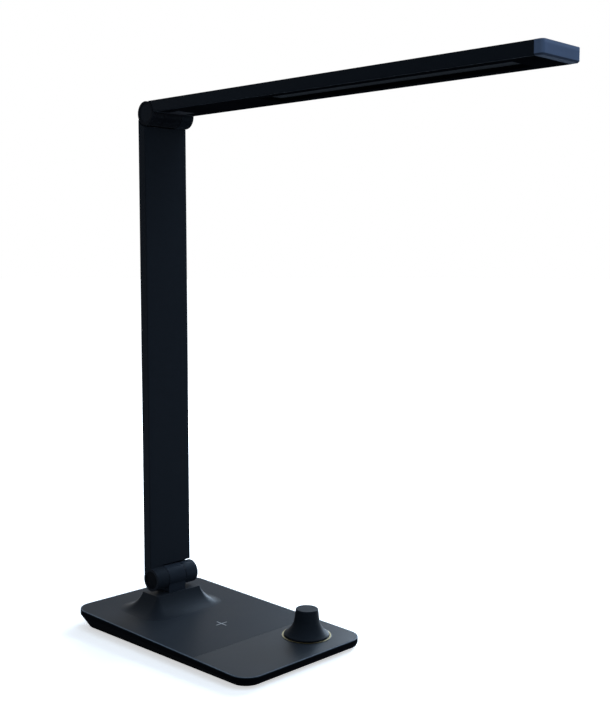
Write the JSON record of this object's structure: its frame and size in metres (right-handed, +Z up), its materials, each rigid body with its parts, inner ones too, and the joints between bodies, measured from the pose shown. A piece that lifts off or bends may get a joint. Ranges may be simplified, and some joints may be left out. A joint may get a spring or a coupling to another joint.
{
  "type": "led table lamp",
  "caption": "Folding table lamp: flat light head on a flat swing arm over a slim wedge base with a charging top and a push-and-turn dial.",
  "frame": {"origin": "centre of the base's footprint, on the table it stands on", "axes": "+Z up, the head reaches out along -Y towards the user, +X is the user's right hand"},
  "size_m": [0.1224, 0.3934, 0.407],
  "materials": {
    "cover_satin": "satin dark grey, faintly metallic, non-metal over the charging coil",
    "panel_gloss": "glossy dark grey",
    "tray_black": "fine matte black",
    "rubber_black": "matte black rubber",
    "ballast_steel": "plain sheet steel",
    "screw_steel": "blackened steel",
    "ring_gold": "muted pale gold, satin",
    "mark_grey": "light grey inlay",
    "coil_copper": "enamelled copper wire",
    "ferrite_black": "dull sintered grey",
    "board_green": "green solder mask",
    "encoder_black": "moulded black",
    "shaft_steel": "turned steel",
    "dial_black": "black anodised, turned",
    "inlet_steel": "drawn steel shell",
    "hinge_black": "satin black over cast metal",
    "cap_black": "matte black",
    "bush_bronze": "sintered bronze",
    "arm_black": "fine blasted, black anodised",
    "lead_black": "matte black jacket",
    "under_black": "matte black",
    "diffuser_frost": "frosted white",
    "led_board_white": "white solder mask on metal",
    "led_amber": "phosphor yellow",
    "end_smoke": "smoky blue grey, polished"
  },
  "bodies": {
    "base": {"base_cover": "cover_satin", "base_tray": "tray_black", "rubber_mat": "rubber_black", "ballast_plate": "ballast_steel", "tray_screws": "screw_steel", "ballast_screws": "screw_steel", "control_panel": "panel_gloss", "dial_ring": "ring_gold", "charging_mark": "mark_grey", "charging_coil": "coil_copper", "ferrite_sheet": "ferrite_black", "control_board": "board_green", "control_board_screws": "screw_steel", "encoder_body": "encoder_black", "power_board": "board_green", "power_board_screws": "screw_steel", "power_inlet": "inlet_steel", "hinge_neck": "hinge_black", "neck_screws": "screw_steel", "lower_hinge_bush": "bush_bronze"},
    "plunger": {"switch_plunger": "encoder_black"},
    "dial": {"control_dial": "dial_black", "encoder_shaft": "shaft_steel"},
    "arm": {"arm_shell": "arm_black", "arm_rear_cover": "arm_black", "arm_screws": "screw_steel", "arm_lead": "lead_black", "lower_hinge_shaft": "shaft_steel", "lower_friction_washers": "shaft_steel", "lower_disc_springs": "shaft_steel", "lower_hinge_nut": "shaft_steel", "lower_hinge_barrel": "hinge_black", "lower_hinge_caps": "cap_black", "upper_hinge_shaft": "shaft_steel", "upper_friction_washers": "shaft_steel", "upper_disc_springs": "shaft_steel", "upper_hinge_nut": "shaft_steel", "upper_hinge_barrel": "hinge_black", "upper_hinge_caps": "cap_black"},
    "head": {"head_housing": "arm_black", "head_hinge_block": "hinge_black", "hinge_block_screws": "screw_steel", "head_lead": "lead_black", "head_lower_cover": "under_black", "head_screws": "screw_steel", "diffuser": "diffuser_frost", "led_board": "led_board_white", "led_chips": "led_amber", "head_end_cap": "end_smoke", "upper_hinge_bush": "bush_bronze"}
  },
  "joints": [
    {"name": "arm_tilt", "type": "hinge", "parent": "base", "child": "arm", "pos_m": [0, 0.0528, 0.0362], "axis": [1, 0, 0], "range_deg": [-30, 90]},
    {"name": "head_tilt", "type": "hinge", "parent": "arm", "child": "head", "pos_m": [0, 0.0528, 0.3981], "axis": [1, 0, 0], "range_deg": [-90, 90]},
    {"name": "dial_press", "type": "slide", "parent": "base", "child": "plunger", "axis": [0, 0.0277, -0.9996], "range_m": [0, 0.0005], "stiffness_N_per_m": 3000, "springref_m": -0.0003},
    {"name": "dial_turn", "type": "hinge", "parent": "plunger", "child": "dial", "pos_m": [0.0303, -0.06827, 0.00903], "axis": [0, -0.0277, 0.9996], "continuous": true}
  ]
}
